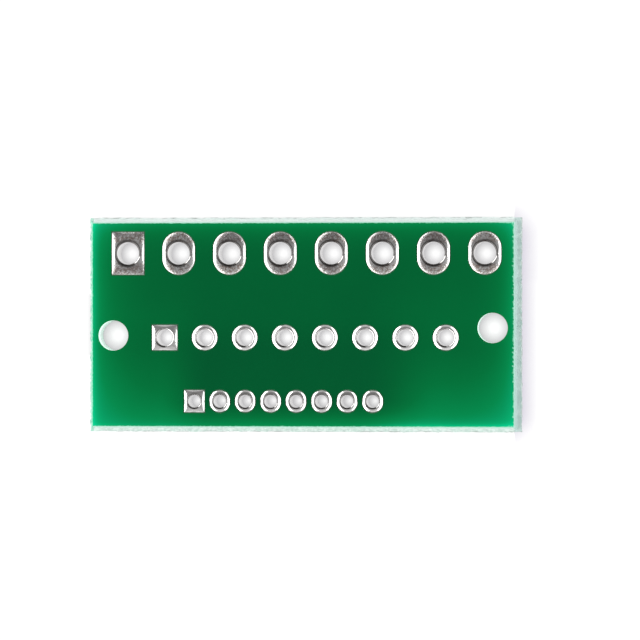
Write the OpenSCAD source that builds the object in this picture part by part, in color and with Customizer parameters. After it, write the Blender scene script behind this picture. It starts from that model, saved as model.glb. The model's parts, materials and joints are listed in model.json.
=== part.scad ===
// Pitch adapter board for wireless modules. Three rows of plated holes, at 2.54, 2.00
// and 1.27 mm, are joined hole to hole by copper tracks on the underside.
// X runs along the rows, Y across them and Z up through the board. The origin is in the
// middle of the board's outline, level with the lowest solder on the underside.

/* [Board] */
// Length of the green face
face_l = 21.0; // [20.4:0.1:30]
// Width of the green face
face_w = 10.1; // [9.6:0.1:20]
// Thickness of the bare laminate
core_t = 1.53; // [1.2:0.01:2.4]
// Thickness of the solder mask
mask_t = 0.025; // [0.015:0.005:0.04]
// Bare ring that the mask leaves round a land
mask_gap = 0.05; // [0.02:0.01:0.08]
// Thickness of the copper foil
copper_t = 0.035; // [0.018:0.001:0.07]

/* [Snapped edges] */
// Depth of the score line cut into each face
score_d = 0.5; // [0.2:0.05:0.55]
// Full angle of the scoring cutter
score_angle = 30; // [20:1:60]
// How far the torn web stands out past the floor of the score line
web_stub = 0.12; // [0.02:0.01:0.3]

/* [Rows] */
// Number of holes in each row
pins = 8; // [2:1:8]
// Thickness of the plating in a hole
plating_t = 0.03; // [0.02:0.005:0.06]
// Height of the solder above the foil
crown_h = 0.075; // [0.02:0.005:0.1]
// Width of the flat crest between the solder's outer slope and the hole's lip
crest_w = 0.02; // [0.01:0.005:0.04]
// Share of the solder's two slopes that the outer one takes
outer_share = 0.65; // [0.4:0.05:0.75]
// Width of a track
track_w = 0.3; // [0.15:0.05:0.4]

/* [Wide row] */
// Pitch of the wide row
wide_pitch = 2.54; // [2.2:0.01:2.6]
// Width of a land in the wide row
wide_land_w = 1.6; // [1.4:0.05:1.8]
// Length of a land in the wide row
wide_land_l = 2.12; // [1.9:0.02:2.5]
// Diameter of a finished hole in the wide row
wide_bore = 1.1; // [0.9:0.01:1.14]
// Distance from the wide row to the board's far edge
wide_inset = 1.5; // [1.35:0.05:2]
// Offset of the wide row from the board's middle, to the right
wide_x = 0.18; // [-0.2:0.01:0.2]

/* [Middle row] */
// Pitch of the middle row
middle_pitch = 2; // [1.6:0.01:2.1]
// Diameter of a land in the middle row
middle_land = 1.25; // [1.1:0.05:1.4]
// Diameter of a finished hole in the middle row
middle_bore = 0.8; // [0.7:0.01:0.86]
// Offset of the middle row from the board's middle, to the far side
middle_y = -0.64; // [-1:0.01:0]
// Offset of the middle row from the board's middle, to the right
middle_x = 0.13; // [-0.5:0.01:0.5]

/* [Fine row] */
// Pitch of the fine row
fine_pitch = 1.27; // [1.2:0.01:1.5]
// Width of a land in the fine row
fine_land_w = 1; // [0.9:0.02:1.04]
// Length of a land in the fine row
fine_land_l = 1.1; // [1.06:0.02:1.3]
// Diameter of a finished hole in the fine row
fine_bore = 0.62; // [0.5:0.01:0.66]
// Distance from the fine row to the board's near edge
fine_inset = 1.25; // [0.9:0.05:1.6]
// Offset of the fine row from the board's middle, to the right
fine_x = -0.94; // [-2:0.01:2]

/* [Mounting holes] */
// Diameter of a mounting hole
mount_d = 1.5; // [1:0.1:1.7]
// Distance from a mounting hole to the nearer end of the board
mount_inset = 1.05; // [1:0.05:1.3]
// Offset of the left mounting hole from the board's middle, to the far side
mount_left_y = -0.54; // [-2:0.01:1]
// Offset of the right mounting hole from the board's middle, to the far side
mount_right_y = -0.16; // [-2:0.01:1]

/* [Hidden] */
$fn = 48;

// The three rows, wide to fine, each value in the same order
row_name = ["254", "200", "127"];
pitch = [wide_pitch, middle_pitch, fine_pitch];
land_w = [wide_land_w, middle_land, fine_land_w];
land_l = [wide_land_l, middle_land, fine_land_l];
bore = [wide_bore, middle_bore, fine_bore];
row_x = [wide_x, middle_x, fine_x];
row_y = [face_w / 2 - wide_inset, middle_y, fine_inset - face_w / 2];

// The mounting holes, left and right
mount_at = [
    [mount_inset - face_l / 2, mount_left_y],
    [face_l / 2 - mount_inset, mount_right_y],
];

land_h = copper_t + crown_h;
lip_d = land_h; // the lip ends level with the laminate's face
core_z = land_h;
top_z = core_z + core_t;
board_h = top_z + land_h;
flank_w = score_d * tan(score_angle / 2);
arc_steps = 5;
past = 0.5; // how far a cut runs past the face that it opens

rows = [0 : len(pitch) - 1];
holes = [1 : pins];

function hole_name(row, pin) = str("plated_hole_", row_name[row], "_", pin);
function track_name(pin) = str("track_", pin);
function hole_at(row, pin) = [row_x[row] + (pin - (pins + 1) / 2) * pitch[row], row_y[row]];

// Widths of the solder's outer slope and of the lip that rolls over into the hole
function slopes_w(row) = (land_w[row] - bore[row]) / 2 - crest_w;
function outer_w(row) = slopes_w(row) * outer_share;
function lip_w(row) = slopes_w(row) * (1 - outer_share);

// Both halves of a section that is given from the middle outwards
function both_halves(half) = concat(
    half,
    [for (i = [len(half) - 1 : -1 : 0]) if (half[i][0] > 0) [-half[i][0], half[i][1]]]
);

// Points along an arc that starts level and falls by drop over the run, from the far end
function falling_arc(run, drop) =
    let (radius = (run * run + drop * drop) / (2 * drop), sweep = 2 * atan(drop / run))
    [for (i = [0 : arc_steps])
        let (a = sweep * (1 - i / arc_steps))
        [radius * sin(a), -radius * (1 - cos(a))]];

// Half a section through a land: square foil, then solder that rises in an arc from the
// foil's edge to the flat crest
function land_section(half_w, slope_w) = concat(
    [[0, 0], [half_w, 0]],
    [for (p = falling_arc(slope_w, crown_h)) [half_w - slope_w + p.x, land_h + p.y]],
    [[0, land_h]]
);

// Half a section through the board's edge: scored flanks above and below a torn web
function edge_section(size) = [
    [0, 0],
    [size / 2, 0],
    [size / 2 + flank_w, score_d],
    [size / 2 + flank_w + web_stub, score_d],
    [size / 2 + flank_w + web_stub, core_t - score_d],
    [size / 2 + flank_w, core_t - score_d],
    [size / 2, core_t],
    [0, core_t],
];

// A bar of the given section along Y, or turned to lie along X
module bar(section, length) {
    rotate([90, 0, 0]) linear_extrude(length, center = true) polygon(both_halves(section));
}

// Outline of a land, grown all round by the margin. The first one in a row has corners.
module land_outline(row, pin, margin = 0) {
    w = land_w[row] + 2 * margin;
    l = land_l[row] + 2 * margin;
    translate(hole_at(row, pin)) {
        if (pin == 1) {
            square([w, l], center = true);
        } else {
            if (l > w) square([w, l - w], center = true);
            for (side = [-1, 1]) translate([0, side * (l - w) / 2]) circle(d = w);
        }
    }
}

// Solder on a land with corners: a pillow with mitred slopes, which thins out over the
// corners because the molten solder draws in round the hole
module square_land(w, l, slope_w) {
    corner = norm([w, l]) / 2;
    intersection() {
        bar(land_section(w / 2, slope_w), l);
        rotate([0, 0, 90]) bar(land_section(l / 2, slope_w), w);
        rotate_extrude() polygon(land_section(corner, corner - w / 2));
    }
}

// Solder on a land with round ends, or on a round one
module round_land(w, l, slope_w) {
    if (l > w) {
        bar(land_section(w / 2, slope_w), l - w);
        for (turn = [0, 180]) rotate([0, 0, turn]) translate([0, (l - w) / 2, 0])
            rotate_extrude(angle = 180) polygon(land_section(w / 2, slope_w));
    } else {
        rotate_extrude() polygon(land_section(w / 2, slope_w));
    }
}

module land(row, pin) {
    if (pin == 1) square_land(land_w[row], land_l[row], outer_w(row));
    else round_land(land_w[row], land_l[row], outer_w(row));
}

// What is cut away above the lip of a hole, from the foot of the lip upwards. The lip is a
// quarter of an ellipse, upright in the hole and level at the crest.
module lip_cut(row) {
    r = bore[row] / 2;
    w = lip_w(row);
    curve = [for (i = [0 : arc_steps])
        let (a = 90 * i / arc_steps)
        [r + w * (1 - cos(a)), land_h - lip_d * (1 - sin(a))]];
    rotate_extrude()
        polygon(concat([[0, land_h - lip_d]], curve, [[r + w, land_h + past], [0, land_h + past]]));
}

// One plated hole: a barrel through the board with a soldered land on each face
module plated_hole(row, pin) {
    color("silver") translate(concat(hole_at(row, pin), 0)) difference() {
        union() {
            translate([0, 0, top_z]) land(row, pin);
            translate([0, 0, core_z]) mirror([0, 0, 1]) land(row, pin);
            translate([0, 0, core_z - copper_t])
                cylinder(d = bore[row] + 2 * plating_t, h = core_t + 2 * copper_t);
        }
        translate([0, 0, -past]) cylinder(d = bore[row], h = board_h + 2 * past);
        translate([0, 0, top_z]) lip_cut(row);
        translate([0, 0, core_z]) mirror([0, 0, 1]) lip_cut(row);
    }
}

// Outline of the two straight runs that join one hole of each row
module track_outline(pin, margin = 0) {
    for (row = [0, 1]) {
        start = hole_at(row, pin);
        run = hole_at(row + 1, pin) - start;
        width = track_w + 2 * margin;
        translate(start) rotate(atan2(run.y, run.x)) translate([0, -width / 2])
            square([norm(run), width]);
    }
}

module track(pin) {
    color("peru") translate([0, 0, core_z - copper_t]) linear_extrude(copper_t) difference() {
        track_outline(pin);
        for (row = rows) land_outline(row, pin);
    }
}

// Every opening in a coat of solder mask
module mask_openings() {
    for (row = rows, pin = holes) land_outline(row, pin, mask_gap);
    for (at = mount_at) translate(at) circle(d = mount_d);
}

module solder_mask_top() {
    color("seagreen") translate([0, 0, top_z]) linear_extrude(mask_t) difference() {
        square([face_l, face_w], center = true);
        mask_openings();
    }
}

// The coat on the underside lies flat on the laminate and rises over each track
module solder_mask_bottom() {
    color("seagreen") difference() {
        union() {
            translate([0, 0, core_z - mask_t]) linear_extrude(mask_t)
                square([face_l, face_w], center = true);
            for (pin = holes) translate([0, 0, core_z - copper_t - mask_t])
                linear_extrude(copper_t + mask_t) track_outline(pin, mask_t);
        }
        for (pin = holes) translate([0, 0, core_z - copper_t])
            linear_extrude(copper_t + past) track_outline(pin);
        translate([0, 0, core_z - past]) linear_extrude(2 * past) mask_openings();
    }
}

module substrate() {
    color("wheat") translate([0, 0, core_z]) difference() {
        intersection() {
            bar(edge_section(face_l), 2 * face_w);
            rotate([0, 0, 90]) bar(edge_section(face_w), 2 * face_l);
        }
        for (row = rows, pin = holes) translate(concat(hole_at(row, pin), -past))
            cylinder(d = bore[row] + 2 * plating_t, h = core_t + 2 * past);
        for (at = mount_at) translate(concat(at, -past)) cylinder(d = mount_d, h = core_t + 2 * past);
    }
}

substrate();
solder_mask_top();
solder_mask_bottom();
for (row = rows, pin = holes)
    plated_hole(row, pin);
for (pin = holes)
    track(pin);
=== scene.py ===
import json
import math

import bmesh
import bpy
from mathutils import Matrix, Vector


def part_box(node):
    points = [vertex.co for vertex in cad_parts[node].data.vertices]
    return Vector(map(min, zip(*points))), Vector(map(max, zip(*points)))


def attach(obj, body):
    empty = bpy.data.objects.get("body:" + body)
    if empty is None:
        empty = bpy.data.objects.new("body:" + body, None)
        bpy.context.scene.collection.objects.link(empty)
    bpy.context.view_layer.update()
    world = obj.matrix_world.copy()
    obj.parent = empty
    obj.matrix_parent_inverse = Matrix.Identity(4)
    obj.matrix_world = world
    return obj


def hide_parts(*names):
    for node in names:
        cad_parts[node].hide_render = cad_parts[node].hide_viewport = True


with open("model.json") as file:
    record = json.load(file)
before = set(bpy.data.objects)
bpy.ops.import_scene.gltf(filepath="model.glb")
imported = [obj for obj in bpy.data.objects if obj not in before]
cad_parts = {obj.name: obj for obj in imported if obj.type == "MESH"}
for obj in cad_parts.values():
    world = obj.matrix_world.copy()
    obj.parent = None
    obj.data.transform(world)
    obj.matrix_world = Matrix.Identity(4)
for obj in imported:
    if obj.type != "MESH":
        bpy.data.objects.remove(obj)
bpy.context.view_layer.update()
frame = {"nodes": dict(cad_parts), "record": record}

# The bare board: layers of glass cloth pressed in epoxy, 1.53 mm thick. The panel is scored
# with a V from both faces and then snapped, so that each edge has two cut flanks and a torn
# web between them, and the drill goes through afterwards for every hole.
MM = 0.001
mask_low, mask_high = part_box("solder_mask_top")
board_low, board_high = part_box("substrate")
face_half = (mask_high[0], mask_high[1])
edge_half = (board_high[0], board_high[1])
board_bottom = board_low[2]
board_top = board_high[2]
board_middle = (board_bottom + board_top) / 2
score_depth = 0.5 * MM
web_stub = 0.12 * MM
edge_cell = 0.1 * MM
web_rows = 6
fibre_scatter = 0.035 * MM
tear_depth = 0.1 * MM
tear_grain = 0.35 * MM
web_foot = 0.095 * MM
left_end_short = 0.09 * MM
right_end_long = 0.09 * MM
plating_wall = 0.03 * MM
drill_steps = 64
holes = frame["record"]["mounts"]


def show_only(piece):
    """Makes a piece the only selected object and the active one."""
    bpy.ops.object.select_all(action="DESELECT")
    piece.select_set(True)
    bpy.context.view_layer.objects.active = piece


def added(name):
    """Names the primitive that was just added and returns it."""
    piece = bpy.context.object
    piece.name = name
    piece.data.name = name
    return piece


def pick(piece, wanted):
    """In edit mode, selects the vertices whose place passes the test, and what they span."""
    shape = bmesh.from_edit_mesh(piece.data)
    for vert in shape.verts:
        vert.select_set(False)
    shape.select_flush(False)
    for vert in shape.verts:
        if wanted(vert.co):
            vert.select_set(True)
    shape.select_flush(True)
    bmesh.update_edit_mesh(piece.data)


def pick_edges(piece, wanted):
    """In edit mode, selects the edges whose two ends pass the test."""
    shape = bmesh.from_edit_mesh(piece.data)
    for edge in shape.edges:
        edge.select_set(False)
    for edge in shape.edges:
        if wanted(edge.verts[0].co, edge.verts[1].co):
            edge.select_set(True)
    bmesh.update_edit_mesh(piece.data)


def apply_modifiers(piece):
    show_only(piece)
    for modifier in list(piece.modifiers):
        bpy.ops.object.modifier_apply(modifier=modifier.name)


bpy.ops.object.select_all(action="DESELECT")
bpy.ops.mesh.primitive_cube_add(
    size=1,
    location=(0, 0, board_middle),
    scale=(2 * face_half[0], 2 * face_half[1], board_top - board_bottom),
)
board = added("glass_epoxy_board")
bpy.ops.object.transform_apply(location=True, rotation=True, scale=True)
bpy.ops.object.mode_set(mode="EDIT")
score_floors = (board_bottom + score_depth, board_top - score_depth)
for height in score_floors:
    bpy.ops.mesh.select_all(action="SELECT")
    bpy.ops.mesh.bisect(plane_co=(0, 0, height), plane_no=(0, 0, 1))
flank_half = [half - web_stub for half in edge_half]
pick(board, lambda at: score_floors[0] - 1e-6 < at.z < score_floors[1] + 1e-6)
bpy.ops.transform.resize(
    value=(flank_half[0] / face_half[0], flank_half[1] / face_half[1], 1),
    center_override=(0, 0, board_middle),
)
bpy.ops.mesh.extrude_region_move()
bpy.ops.transform.resize(
    value=(edge_half[0] / flank_half[0], edge_half[1] / flank_half[1], 1),
    center_override=(0, 0, board_middle),
)
for axis in (0, 1):
    pick_edges(
        board,
        lambda one, two: abs(one[1 - axis] - two[1 - axis]) < 1e-7
        and abs(one.z - two.z) < 1e-7
        and abs(one[axis] - two[axis]) > face_half[axis],
    )
    bpy.ops.mesh.subdivide(number_cuts=round(2 * edge_half[axis] / edge_cell))
pick_edges(
    board,
    lambda one, two: abs(one.z - two.z) > 0.3 * MM
    and all(abs(p.x) > edge_half[0] - 1e-6 or abs(p.y) > edge_half[1] - 1e-6 for p in (one, two)),
)
bpy.ops.mesh.subdivide(number_cuts=web_rows)
bpy.ops.object.mode_set(mode="OBJECT")

torn = board.vertex_groups.new(name="torn_web")
for vert in board.data.vertices:
    if abs(vert.co.x) > edge_half[0] - 1e-6 or abs(vert.co.y) > edge_half[1] - 1e-6:
        torn.add([vert.index], 1.0, "REPLACE")
tear = bpy.data.textures.new("tear", "CLOUDS")
tear.noise_scale = tear_grain
tear.noise_depth = 3
break_up = board.modifiers.new("break_up", "DISPLACE")
break_up.texture = tear
break_up.texture_coords = "LOCAL"
break_up.vertex_group = "torn_web"
break_up.strength = tear_depth
break_up.mid_level = 0.5
apply_modifiers(board)

bpy.ops.object.mode_set(mode="EDIT")
pick(board, lambda at: abs(at.x) > edge_half[0] - tear_depth or abs(at.y) > edge_half[1] - tear_depth)
bpy.ops.transform.vertex_random(offset=fibre_scatter, uniform=0.6, normal=0.4, seed=4)
pick(board, lambda at: at.x < web_foot - edge_half[0])
bpy.ops.transform.translate(value=(left_end_short, 0, 0))
pick(board, lambda at: at.x > edge_half[0] - web_foot)
bpy.ops.transform.translate(value=(right_end_long, 0, 0))
bpy.ops.object.mode_set(mode="OBJECT")

drills = []
for hole in holes:
    wall = 0 if hole["name"].startswith("mounting") else plating_wall
    bpy.ops.object.select_all(action="DESELECT")
    bpy.ops.mesh.primitive_cylinder_add(
        vertices=drill_steps,
        radius=hole["dims"]["r_mm"] * MM + wall,
        depth=2 * (board_top - board_bottom),
        location=hole["pos_m"],
    )
    drills.append(added("drill"))
show_only(drills[0])
for drill in drills:
    drill.select_set(True)
bpy.ops.object.join()
drilling = board.modifiers.new("drilling", "BOOLEAN")
drilling.operation = "DIFFERENCE"
drilling.object = drills[0]
drilling.solver = "EXACT"
apply_modifiers(board)
bpy.data.objects.remove(drills[0])
show_only(board)
bpy.ops.object.shade_smooth_by_angle(angle=math.radians(25))


class Signal:
    """One output in a material's nodes. Sums and products of signals add Math nodes."""

    def __init__(self, finish, socket):
        self.finish = finish
        self.socket = socket

    def math(self, operation, first, second=0.0, clamp=False):
        settings = {"operation": operation, "use_clamp": clamp}
        return self.finish.node("Math", settings, {0: first, 1: second})

    def __add__(self, other):
        return self.math("ADD", self, other)

    def __radd__(self, other):
        return self.math("ADD", other, self)

    def __sub__(self, other):
        return self.math("SUBTRACT", self, other)

    def __rsub__(self, other):
        return self.math("SUBTRACT", other, self)

    def __mul__(self, other):
        return self.math("MULTIPLY", self, other)

    def __rmul__(self, other):
        return self.math("MULTIPLY", other, self)

    def __truediv__(self, other):
        return self.math("DIVIDE", self, other)

    def __rtruediv__(self, other):
        return self.math("DIVIDE", other, self)

    def __abs__(self):
        return self.math("ABSOLUTE", self)

    def clamped(self):
        return self.math("ADD", self, 0.0, clamp=True)

    def above(self, level):
        return self.math("GREATER_THAN", self, level)

    def fall(self, reach):
        """1 where the signal is 0, fading to 0 as it grows past the reach."""
        return self.math("EXPONENT", self * (-1.0 / reach))

    def soft_fall(self, reach):
        """Like fall, but level at first and steeper further on."""
        away = self * (1.0 / reach)
        return self.math("EXPONENT", -1 * away * away)

    def ramp(self, low, high):
        """0 below low, 1 above high, and smooth between them."""
        settings = {"interpolation_type": "SMOOTHSTEP"}
        return self.finish.node("MapRange", settings, {0: self, 1: low, 2: high})


class Finish:
    """A material for one of the board's surfaces, as a tree of nodes in real metres."""

    def __init__(self, name, owner=None):
        self.material = owner or bpy.data.materials.new(name)
        self.material.use_nodes = True
        self.tree = self.material.node_tree
        self.tree.nodes.clear()

    def node(self, kind, settings, inputs, output=0):
        made = self.tree.nodes.new("ShaderNode" + kind)
        for name, value in settings.items():
            if name == "stops":
                ramp = made.color_ramp
                while len(ramp.elements) < len(value):
                    ramp.elements.new(1.0)
                for element, (place, colour) in zip(ramp.elements, value):
                    element.position = place
                    element.color = colour
            else:
                setattr(made, name, value)
        for key, value in inputs.items():
            if isinstance(value, Signal):
                self.tree.links.new(value.socket, made.inputs[key])
            else:
                made.inputs[key].default_value = value
        return Signal(self, made.outputs[output])

    def place(self):
        return self.node("TexCoord", {}, {}, "Object")

    def axes(self, vector):
        return [self.node("SeparateXYZ", {}, {0: vector}, axis) for axis in "XYZ"]

    def stretched(self, vector, x, y, z):
        settings = {"operation": "MULTIPLY"}
        return self.node("VectorMath", settings, {0: vector, 1: (x, y, z)})

    def noise(self, vector, size, detail=3.0, roughness=0.5):
        """Soft noise from 0 to 1 whose blotches are about that many metres across."""
        inputs = {"Vector": vector, "Scale": 1.0 / size, "Detail": detail, "Roughness": roughness}
        return self.node("TexNoise", {}, inputs)

    def blend(self, share, first, second):
        settings = {"data_type": "RGBA"}
        return self.node("Mix", settings, {0: share, 6: first, 7: second}, 2)

    def bump(self, height, depth, strength=1.0):
        """Relief whose height signal of 1 stands that many metres proud."""
        return self.node("Bump", {}, {"Height": height, "Distance": depth, "Strength": strength})

    def surface(self, inputs):
        shader = self.node("BsdfPrincipled", {}, inputs)
        output = self.tree.nodes.new("ShaderNodeOutputMaterial")
        self.tree.links.new(shader.socket, output.inputs["Surface"])
        return self.material


def shown(red, green, blue):
    """A colour as a screen shows it, 0 to 255, turned into the light that a surface returns."""
    parts = [value / 255 for value in (red, green, blue)]
    light = [p / 12.92 if p <= 0.04045 else ((p + 0.055) / 1.055) ** 2.4 for p in parts]
    return (*light, 1.0)


def dress(piece, material):
    """Gives a piece one material all over."""
    piece.data.materials.clear()
    piece.data.materials.append(material)


glass = Finish("glass_epoxy")
at = glass.place()
x, y, z = glass.axes(at)
depth_in = z.math("MINIMUM", z - board_bottom, board_top - z)
plies = glass.noise(glass.stretched(at, 0.16, 0.16, 1.0), 0.055 * MM, 2.0, 0.6)
threads = glass.noise(glass.stretched(at, 1.0, 1.0, 0.4), 0.16 * MM, 3.0, 0.6)
inside = glass.blend(threads.ramp(0.38, 0.62), shown(216, 230, 224), shown(242, 248, 246))
inside = glass.blend(plies.ramp(0.45, 0.75) * 0.35, inside, shown(206, 214, 212))
# Painted light and shade on the edges: the far edge's side is painted nearly white as painted light, and the
# right end is painted a darker grey-green as painted shade, darkest on its upper half.
far_edge_painted_light = y.ramp(4.95 * MM, 5.05 * MM)
inside = glass.blend(far_edge_painted_light * 0.8, inside, shown(252, 255, 255))
upper_half = z.ramp(1.0 * MM, 1.25 * MM)
at_left_end = 1 - x.ramp(-10.53 * MM, -10.48 * MM)
inside = glass.blend(at_left_end * upper_half * 0.9, inside, shown(158, 232, 206))
at_right_end = x.ramp(10.45 * MM, 10.55 * MM)
right_end_painted_shade = glass.blend(upper_half, shown(228, 244, 242), shown(172, 198, 194))
inside = glass.blend(at_right_end * 0.85, inside, right_end_painted_shade)
in_web = 1 - z.ramp(1.06 * MM, 1.14 * MM)
inside = glass.blend(in_web * 0.75, inside, shown(168, 180, 174))
near_mask = depth_in.fall(0.2 * MM) * (1 - 0.5 * at_right_end) * (1 - 0.4 * in_web)
mint = glass.blend(at_left_end, shown(164, 231, 206), shown(112, 208, 170))
edge_colour = glass.blend((near_mask * 1.2).clamped(), inside, mint)
on_face = 1 - depth_in.ramp(0.002 * MM, 0.012 * MM)
board_colour = glass.blend(on_face, edge_colour, shown(44, 112, 74))
# Painted light: the walls of the mounting holes glow faintly, a painted glow that stands in for light coming
# through the board there.
in_mount_hole = abs(x).ramp(8.5 * MM, 8.6 * MM) * (1 - abs(x).ramp(10.3 * MM, 10.4 * MM))
in_mount_hole = in_mount_hole * (1 - abs(y).ramp(1.5 * MM, 1.6 * MM)) * (1 - on_face)
mount_wall_painted_glow = glass.blend(in_mount_hole, (0, 0, 0, 1), shown(232, 240, 238))
dress(board, glass.surface({
    "Base Color": board_colour,
    "Emission Color": mount_wall_painted_glow,
    "Emission Strength": 0.4,
    "Roughness": 0.5 + 0.3 * threads,
    "Normal": glass.bump(plies + threads, 0.02 * MM),
    "IOR": 1.5,
}))
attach(board, "root")
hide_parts("substrate")

# Copper tracks on the underside, etched from 35 micrometre foil. Each joins one hole of the
# three rows, and the solder mask covers it all.
foil = Finish("copper_foil")
at = foil.place()
tarnish = foil.noise(at, 0.3 * MM, 4.0, 0.6)
grain = foil.noise(at, 0.03 * MM, 2.0)
copper = foil.surface({
    "Base Color": foil.blend(tarnish, shown(196, 120, 84), shown(152, 86, 60)),
    "Metallic": 1.0,
    "Roughness": 0.25 + 0.25 * tarnish,
    "Normal": foil.bump(grain, 0.003 * MM),
})
for name, node in frame["nodes"].items():
    if name.startswith("track_"):
        dress(node, copper)

# Solder mask on both faces: green epoxy ink, screened on as a coat 25 micrometres thick and
# cured. Its colour is painted lighter near the board's edges, as painted light for the light that gets
# into the board there, and painted darker behind the rows of plated holes, as painted shade where
# they keep that light back. Over a track the coat looks paler.
shaded_from = (-7.2 * MM, -4.6 * MM)
shaded_to = (2.8 * MM, 7.0 * MM)
shaded_above = (-4.9 * MM, -3.7 * MM)
track_skin = 0.012 * MM


def mask_finish(name, over_tracks):
    mask = Finish(name)
    at = mask.place()
    x, y, z = mask.axes(at)
    from_left = (x + face_half[0]).math("MAXIMUM", x + face_half[0], 0.0)
    from_right = (x - face_half[0]).math("MAXIMUM", face_half[0] - x, 0.0)
    from_bottom = (y + face_half[1]).math("MAXIMUM", y + face_half[1], 0.0)
    from_top = (y - face_half[1]).math("MAXIMUM", face_half[1] - y, 0.0)
    # Painted light: the level below is lighter towards each edge and towards the upper rows, and painted
    # shade lowers it behind the rows of holes; drift is random tone.
    painted_row_shade = x.ramp(*shaded_from) * (1 - x.ramp(*shaded_to)) * (0.3 + 0.7 * y.ramp(*shaded_above))
    to_right = x.ramp(2 * MM, 6 * MM)
    left = 24 * from_left.soft_fall(1.65 * MM) + 64 * from_left.fall(0.25 * MM)
    right = 12 * from_right.soft_fall(1.5 * MM) + 40 * from_right.fall(0.45 * MM)
    bottom = (54 + 7 * to_right) * from_bottom.fall(2.9 * MM) * (1 - 0.95 * painted_row_shade)
    bottom = bottom + (20 + 30 * to_right) * from_bottom.fall(0.15 * MM)
    top = 40 * from_top.fall(0.62 * MM)
    middle = 2 + 7 * y.ramp(-1.4 * MM, 0.6 * MM)
    bottom = bottom * (1 - (left + right) * (1 / 200))
    drift = 5 * (mask.noise(at, 2.2 * MM, 2.0) - 0.5)
    level = (left + right + bottom + top + middle + drift) * (1 / 130)
    to_edge = from_left.math("MINIMUM", from_left, from_right)
    to_edge = to_edge.math("MINIMUM", to_edge, from_bottom)
    to_edge = to_edge.math("MINIMUM", to_edge, from_top)
    chip_size = (0.12 + 0.22 * x.ramp(10 * MM, 10.4 * MM)) * MM
    chips = (mask.noise(at, 0.11 * MM, 3.0, 0.6) - 0.42) * chip_size
    chipped = 1 - (to_edge - chips).ramp(-0.008 * MM, 0.008 * MM)
    stops = (
        (0.0, shown(0, 82, 43)),
        (0.1, shown(0, 95, 48)),
        (0.24, shown(0, 112, 57)),
        (0.4, shown(1, 134, 74)),
        (0.52, shown(3, 150, 93)),
        (0.66, shown(4, 170, 109)),
        (0.9, shown(8, 207, 145)),
    )
    colour = mask.node("ValToRGB", {"stops": stops}, {0: level})
    if over_tracks:
        raised = 1 - z.ramp(board_bottom - 0.028 * MM - track_skin, board_bottom - 0.028 * MM)
        colour = mask.blend(raised * 0.55, colour, shown(44, 146, 76))
    colour = mask.blend(chipped * 0.75, colour, shown(164, 236, 212))
    peel = mask.noise(at, 0.35 * MM, 3.0)
    cloth = mask.node("TexWave", {"bands_direction": "X"}, {"Vector": at, "Scale": 1 / (1.2 * MM)})
    cloth_across = mask.node("TexWave", {"bands_direction": "Y"}, {"Vector": at, "Scale": 1 / (1.2 * MM)})
    pits = mask.noise(at, 0.06 * MM, 2.0)
    relief = peel + 0.12 * cloth + 0.12 * cloth_across + 0.2 * pits
    return mask.surface({
        "Base Color": colour,
        "Roughness": 0.16 + 0.14 * peel,
        "Specular IOR Level": 0.08,
        "Normal": mask.bump(relief, 0.004 * MM),
    })


dress(frame["nodes"]["solder_mask_top"], mask_finish("green_mask", False))
dress(frame["nodes"]["solder_mask_bottom"], mask_finish("green_mask_over_tracks", True))

# Plated holes in three rows: copper plating on the wall of each hole, a land on each face and
# a skin of solder over all of it, levelled with hot air. The solder stands in a low mound on
# a land and rolls over a soft lip into the hole. Pin 1 of a row has a land with corners.
around = 96
mound_rings = 9
lip_rings = 6
barrel_rings = 8
foil_thickness = 0.035 * MM
outer_share = 0.65
crest_width = 0.02 * MM
lump_grain = 0.22 * MM
lump_height = 0.008 * MM
bulge = 0.45
flat_end = 4
ring_painted_shade = {"254": 0.95, "200": 0.5, "127": 0.75}
pin_hole = {hole["name"]: hole for hole in holes}


def scaled_about(centre, x_factor, y_factor):
    bpy.ops.transform.resize(value=(x_factor, y_factor, 1), center_override=centre)


def circle_at(centre, radius, height, name):
    bpy.ops.object.select_all(action="DESELECT")
    bpy.ops.mesh.primitive_circle_add(vertices=around, radius=radius, location=(centre.x, centre.y, height))
    ring = added(name)
    bpy.ops.object.transform_apply(location=True, rotation=True, scale=True)
    return ring


def land_outline(centre, land_w, land_l, height, cornered):
    """The edge of a land: a rectangle, or two round ends with straight sides between them."""
    if not cornered:
        outline = circle_at(centre, land_w / 2, height, "outline")
        bpy.ops.object.mode_set(mode="EDIT")
        for side in (-1, 1):
            pick(outline, lambda at: side * (at.y - centre.y) > 1e-7)
            bpy.ops.transform.translate(value=(0, side * (land_l - land_w) / 2, 0))
        bpy.ops.object.mode_set(mode="OBJECT")
        return outline
    bpy.ops.object.select_all(action="DESELECT")
    bpy.ops.mesh.primitive_plane_add(size=land_w, location=(centre.x, centre.y, height))
    outline = added("outline")
    bpy.ops.object.transform_apply(location=True, rotation=True, scale=True)
    bpy.ops.object.mode_set(mode="EDIT")
    bpy.ops.mesh.select_all(action="SELECT")
    scaled_about(centre, 1, land_l / land_w)
    bpy.ops.mesh.delete(type="ONLY_FACE")
    bpy.ops.mesh.select_all(action="SELECT")
    bpy.ops.mesh.subdivide(number_cuts=around // 4 - 1)
    bpy.ops.object.mode_set(mode="OBJECT")
    return outline


def bridged(ring, outline, cuts):
    """Joins a round ring to a land's outline by rings of faces, and stays in edit mode."""
    show_only(ring)
    outline.select_set(True)
    bpy.ops.object.join()
    bpy.ops.object.mode_set(mode="EDIT")
    bpy.ops.mesh.select_all(action="SELECT")
    bpy.ops.mesh.bridge_edge_loops(number_cuts=cuts, interpolation="LINEAR")
    return ring


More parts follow.
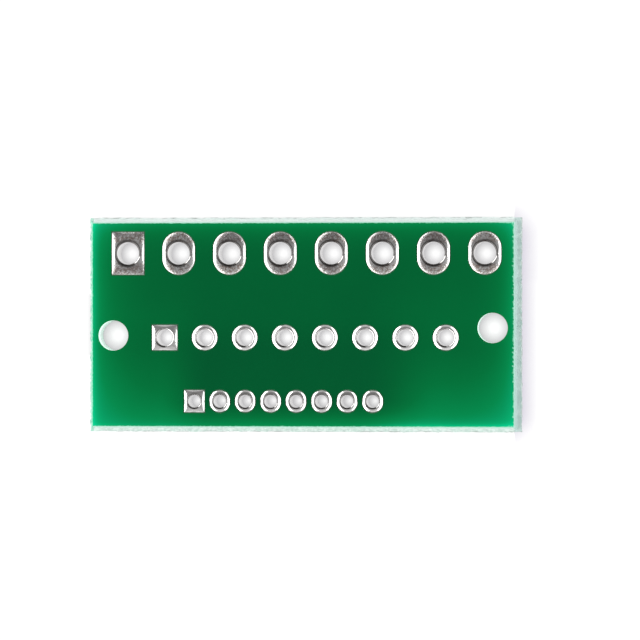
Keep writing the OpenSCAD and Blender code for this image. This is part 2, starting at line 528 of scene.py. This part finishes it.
def soldered_hole(row, pin):
    """Models one plated hole where it stands, from its finished bore to its two lands."""
    low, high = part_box("plated_hole_%s_%d" % (row, pin))
    hole = pin_hole["pin_hole_%s_%d" % (row, pin)]
    centre = Vector(((low[0] + high[0]) / 2, (low[1] + high[1]) / 2, board_top))
    land_w = high[0] - low[0]
    land_l = high[1] - low[1]
    if abs(land_l - land_w) < 0.01 * MM:
        land_l = land_w
    bore = hole["dims"]["r_mm"] * MM
    lip = (land_w / 2 - bore - crest_width) * (1 - outer_share)
    crest = bore + lip + crest_width / 2
    side_run = land_w / 2 - crest
    end_run = land_l / 2 - crest
    foil_top = board_top + foil_thickness
    crown_top = high[2]
    rise = crown_top - foil_top

    outline = land_outline(centre, land_w, land_l, board_top, pin == 1)
    sole = bridged(circle_at(centre, bore + plating_wall, board_top, "sole"), outline, 0)
    pick(sole, lambda at: math.hypot(at.x - centre.x, at.y - centre.y) < bore + plating_wall * 1.01)
    bpy.ops.mesh.extrude_region_move()
    bpy.ops.transform.translate(value=(0, 0, board_middle - board_top))
    bpy.ops.object.mode_set(mode="OBJECT")

    outline = land_outline(centre, land_w, land_l, foil_top, pin == 1)
    name = "soldered_hole_%s_%d" % (row, pin)
    piece = bridged(circle_at(centre, crest, crown_top, name), outline, mound_rings)
    for ring in range(mound_rings, 0, -1):
        share = ring / (mound_rings + 1)
        level = foil_top + rise * share
        pick(piece, lambda at: abs(at.z - level) < rise / (mound_rings + 1) / 4)
        swell = bulge * rise * (share - share ** 2)
        bpy.ops.transform.translate(value=(0, 0, swell))
        ring_now = land_l / 2 - end_run * share
        ring_wanted = land_l / 2 - side_run * share - (end_run - side_run) * share ** flat_end
        scaled_about(centre, 1, ring_wanted / ring_now)
    pick(piece, lambda at: at.z < foil_top + 1e-7)
    bpy.ops.mesh.extrude_region_move()
    bpy.ops.transform.translate(value=(0, 0, board_top - foil_top))

    def from_axis(at):
        return math.hypot(at.x - centre.x, at.y - centre.y)

    pick(piece, lambda at: from_axis(at) < crest + 1e-7 and at.z > crown_top - 1e-7)
    lip_depth = crown_top - board_top
    radius = crest
    height = crown_top
    for step in range(1, lip_rings + 1):
        angle = math.pi / 2 * step / lip_rings
        next_radius = bore + (crest - bore) * (1 - math.sin(angle))
        next_height = board_top + lip_depth * math.cos(angle)
        bpy.ops.mesh.extrude_region_move()
        scaled_about(centre, next_radius / radius, next_radius / radius)
        bpy.ops.transform.translate(value=(0, 0, next_height - height))
        radius = next_radius
        height = next_height
    for step in range(barrel_rings):
        bpy.ops.mesh.extrude_region_move()
        bpy.ops.transform.translate(value=(0, 0, (board_middle - board_top) / barrel_rings))
    bpy.ops.object.mode_set(mode="OBJECT")

    show_only(piece)
    sole.select_set(True)
    bpy.ops.object.join()
    bpy.ops.object.mode_set(mode="EDIT")
    bpy.ops.mesh.select_all(action="SELECT")
    bpy.ops.mesh.duplicate()
    bpy.ops.transform.resize(value=(1, 1, -1), center_override=(centre.x, centre.y, board_middle))
    bpy.ops.mesh.select_all(action="SELECT")
    bpy.ops.mesh.remove_doubles(threshold=1e-7)
    bpy.ops.mesh.normals_make_consistent(inside=False)
    bpy.ops.object.mode_set(mode="OBJECT")

    # Painted shade: a dark ring is painted on the lip, heaviest on the near side and left off at the notch,
    # standing in for shade in the mouth of the hole.
    shade = piece.data.attributes.new("lip_shade", "FLOAT", "POINT")
    for vert, value in zip(piece.data.vertices, shade.data):
        out = from_axis(vert.co)
        on_lip = min(max((out - bore) / (0.012 * MM), 0), 1) * min(max((crest - out) / (0.03 * MM) + 1, 0), 1)
        nearness = (centre.y - vert.co.y) / out
        to_side = (vert.co.x - centre.x) / out
        near_side = min(max((nearness - 0.2) / 0.3, 0), 1)
        notch = min(max((to_side - 0.5) / 0.1, 0), 1) * min(max((nearness - 0.2) / 0.1, 0), 1)
        if row == "200":
            notch = max(notch, min(max(to_side / 0.2, 0), 1))
        value.value = on_lip * (ring_painted_shade[row] + (1 - ring_painted_shade[row]) * near_side) * (1 - notch)

    soft = piece.vertex_groups.new(name="molten")
    for vert in piece.data.vertices:
        clear = abs(vert.co.z - board_middle) - (board_top - board_middle) - foil_thickness
        if clear > rise * 0.02 or from_axis(vert.co) < bore + 1e-6:
            soft.add([vert.index], 1.0, "REPLACE")
    return piece


wide_row_y = (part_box("plated_hole_254_1")[0][1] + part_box("plated_hole_254_1")[1][1]) / 2
lumps = bpy.data.textures.new("lumps", "CLOUDS")
lumps.noise_scale = lump_grain
lumps.noise_depth = 2

tin = Finish("solder")
at = tin.place()
x, y, z = tin.axes(at)
mottle = tin.noise(at, 0.1 * MM, 3.0, 0.6)
grains = tin.noise(at, 0.035 * MM, 2.0, 0.6)
stain = tin.noise(at, 0.5 * MM, 2.0)
above_face = z.ramp(board_top + 0.02 * MM, board_top + 0.06 * MM)
below_face = 1 - z.ramp(board_bottom - 0.06 * MM, board_bottom - 0.02 * MM)
outside = (above_face + below_face).clamped()
wide_end = abs(y - wide_row_y).ramp(0.4 * MM, 0.62 * MM) * y.ramp(2 * MM, 2.4 * MM)
rough_part = outside * (0.15 + 0.85 * wide_end)
dull = tin.blend(mottle.ramp(0.42, 0.6) * rough_part, shown(252, 251, 250), shown(190, 174, 166))
tinned = tin.blend(stain.ramp(0.45, 0.7) * 0.3 * rough_part, dull, shown(184, 158, 146))
drossy = tin.noise(at, 1.7 * MM, 1.0).ramp(0.46, 0.56)
tinned = tin.blend(drossy * 0.35 * rough_part, tinned, shown(138, 136, 142))
# Painted shade on the lip, read from the lip_shade attribute.
lip = tin.node("Attribute", {"attribute_name": "lip_shade"}, {}, "Fac")
tinned = tin.blend(lip * 0.92, tinned, shown(56, 52, 50))
solder = tin.surface({
    "Base Color": tinned,
    "Metallic": 1.0,
    "Roughness": 0.09 + 0.14 * mottle,
    "Normal": tin.bump(mottle + 0.5 * grains, (0.002 + 0.013 * rough_part) * MM),
})


def finish_hole(piece, row, pin):
    """Gives one hole its own lumps of solder, its finish and its place on the board."""
    uneven = piece.modifiers.new("uneven", "DISPLACE")
    uneven.texture = lumps
    uneven.texture_coords = "LOCAL"
    uneven.vertex_group = "molten"
    uneven.strength = lump_height
    uneven.mid_level = 0.55
    apply_modifiers(piece)
    bpy.ops.object.shade_smooth_by_angle(angle=math.radians(50))
    dress(piece, solder)
    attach(piece, "root")
    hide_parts("plated_hole_%s_%d" % (row, pin))


for row in ("254", "200", "127"):
    cornered = soldered_hole(row, 1)
    finish_hole(cornered, row, 1)
    pattern = soldered_hole(row, 2)
    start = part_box("plated_hole_%s_2" % row)[0]
    for pin in range(3, 9):
        show_only(pattern)
        bpy.ops.object.duplicate(linked=False)
        copy = added("soldered_hole_%s_%d" % (row, pin))
        bpy.ops.transform.translate(value=(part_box("plated_hole_%s_%d" % (row, pin))[0][0] - start[0], 0, 0))
        bpy.ops.object.transform_apply(location=True, rotation=True, scale=True)
        finish_hole(copy, row, pin)
    finish_hole(pattern, row, 2)

# The table that the board lies on: a white sheet, lit by two wide soft lamps that stand low at
# its left and right, under a dim ceiling. The camera looks down from just right of the board.
sheet_half = 2.0
seen_white = 0.98
lit_share = 0.1
shade_near = 0.33 * MM
shade_round = 0.62 * MM
shade_far = 1.1 * MM
shade_from = (-0.7, 0, 0.7)

bpy.ops.object.select_all(action="DESELECT")
bpy.ops.mesh.primitive_plane_add(size=2 * sheet_half, location=(0, 0, -0.00001))
sheet = added("white_sheet")
bpy.ops.object.transform_apply(location=True, rotation=True, scale=True)
paper = Finish("white_sheet")
rays = paper.tree.nodes.new("ShaderNodeLightPath")
seen = Signal(paper, rays.outputs["Is Camera Ray"])
seen = seen + Signal(paper, rays.outputs["Is Glossy Ray"])
seen = (seen + Signal(paper, rays.outputs["Is Transmission Ray"])).clamped()
grey = paper.node("BsdfDiffuse", {}, {"Color": (lit_share, lit_share, lit_share, 1)})
x, y, z = paper.axes(paper.place())
# Painted shadow: the sheet's white glow is darkened by ambient occlusion with its normal tilted to the left,
# reaching further beside the board and under the mounting holes, so a lavender shadow is painted right of the
# board and grey shade inside the holes.
beside = x.ramp(face_half[0] - 0.1 * MM, face_half[0])
under_mounts = abs(x).ramp(8.4 * MM, 8.5 * MM) * (1 - abs(y).ramp(1.5 * MM, 1.6 * MM)) * (1 - beside)
reach = shade_near + (shade_far - shade_near) * beside + (shade_round - shade_near) * under_mounts
reach = reach + 0.12 * MM * y.ramp(2 * MM, 2.4 * MM)
open_share = paper.node("AmbientOcclusion", {"samples": 16}, {"Distance": reach, "Normal": shade_from}, "AO")
shade = paper.blend(beside, shown(140, 138, 142), shown(158, 142, 178))
white_with_painted_shadow = paper.blend(open_share, shade, (1, 1, 1, 1))
glow = paper.node("Emission", {}, {"Color": white_with_painted_shadow, "Strength": seen_white})
lit = paper.node("AddShader", {}, {0: grey, 1: glow})
plain = paper.node("BsdfDiffuse", {}, {"Color": (0.8, 0.8, 0.8, 1)})
both = paper.node("MixShader", {}, {0: seen, 1: plain, 2: lit})
out = paper.tree.nodes.new("ShaderNodeOutputMaterial")
paper.tree.links.new(both.socket, out.inputs["Surface"])
dress(sheet, paper.material)


def soft_lamp(name, side, power):
    """A wide softbox at the left or right, turned to face the board."""
    away = 0.2
    elevation = math.radians(31)
    bpy.ops.object.light_add(type="AREA", location=(
        side * away * math.cos(elevation),
        0,
        away * math.sin(elevation),
    ))
    lamp = bpy.context.object
    lamp.name = name
    lamp.data.shape = "RECTANGLE"
    lamp.data.size = 0.6
    lamp.data.size_y = 0.15
    lamp.data.energy = power
    lamp.visible_camera = False
    lamp.rotation_euler = lamp.location.to_track_quat("Z", "Y").to_euler()
    return lamp


soft_lamp("softbox_left", -1, 0.585)
soft_lamp("softbox_right", 1, 0.457)

room = bpy.data.worlds.new("room")
bpy.context.scene.world = room
air = Finish("room", room)
x, y, z = air.axes(air.node("TexCoord", {}, {}, "Generated"))
walls = 0.6 + 0.25 * (1 - y.ramp(-0.8, 0.5)) + 0.25 * abs(x).ramp(0.5, 1.0)
ceiling = 0.2 + 0.3 * (1 - y.ramp(-0.5, 0.4))
walls = walls * (0.45 + 0.55 * z.ramp(0.22, 0.42))
low_down = 1 - z.ramp(0.35, 0.8)
brightness = (ceiling + (walls - ceiling) * low_down) * (1 - 0.25 * z.ramp(0.95, 0.99))
backdrop = air.node("Background", {}, {"Color": (1, 1, 1, 1), "Strength": brightness})
air_out = air.tree.nodes.new("ShaderNodeOutputWorld")
air.tree.links.new(backdrop.socket, air_out.inputs["Surface"])

aim = Vector((0.887 * MM, 0.233 * MM, board_top))
camera_distance = 206 * MM
lean = math.radians(5.5)
bpy.ops.object.camera_add(
    location=aim + camera_distance * Vector((math.sin(lean), 0, math.cos(lean))),
    rotation=(0, lean, 0),
)
camera = bpy.context.object
camera.name = "camera"
camera.data.sensor_width = 36
camera.data.lens = 233.75
camera.data.clip_start = 0.01
bpy.context.scene.camera = camera
bpy.context.scene.view_settings.view_transform = "Standard"
